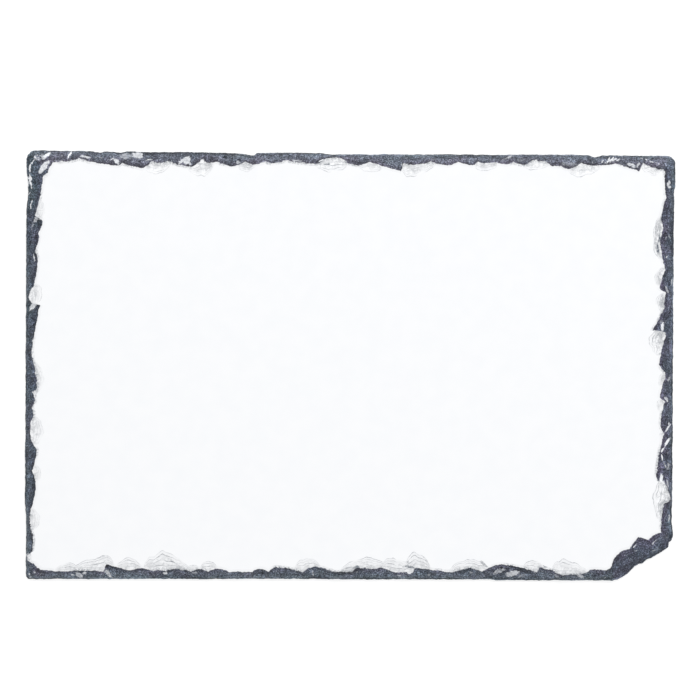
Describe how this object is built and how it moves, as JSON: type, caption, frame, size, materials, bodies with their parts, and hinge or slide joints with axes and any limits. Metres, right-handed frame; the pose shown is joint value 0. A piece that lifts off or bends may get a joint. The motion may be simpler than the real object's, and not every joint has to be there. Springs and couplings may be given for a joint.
{
  "type": "photo slate",
  "caption": "Rectangular slab of natural slate with a smooth white coated face, a rough chipped edge and one broken corner, lying flat on its back.",
  "frame": {"origin": "middle of the box at the slab's back, on the surface it lies on", "axes": "+X along the long side, +Y along the short side, +Z out of the coated face; the broken corner is at +X, -Y"},
  "size_m": [0.3006, 0.1988, 0.008],
  "materials": {
    "slate": "natural dark blue-grey slate, rough where it is chipped, with a smooth white satin coating on the face"
  },
  "bodies": {
    "root": {"slate_slab": "slate"}
  },
  "joints": []
}
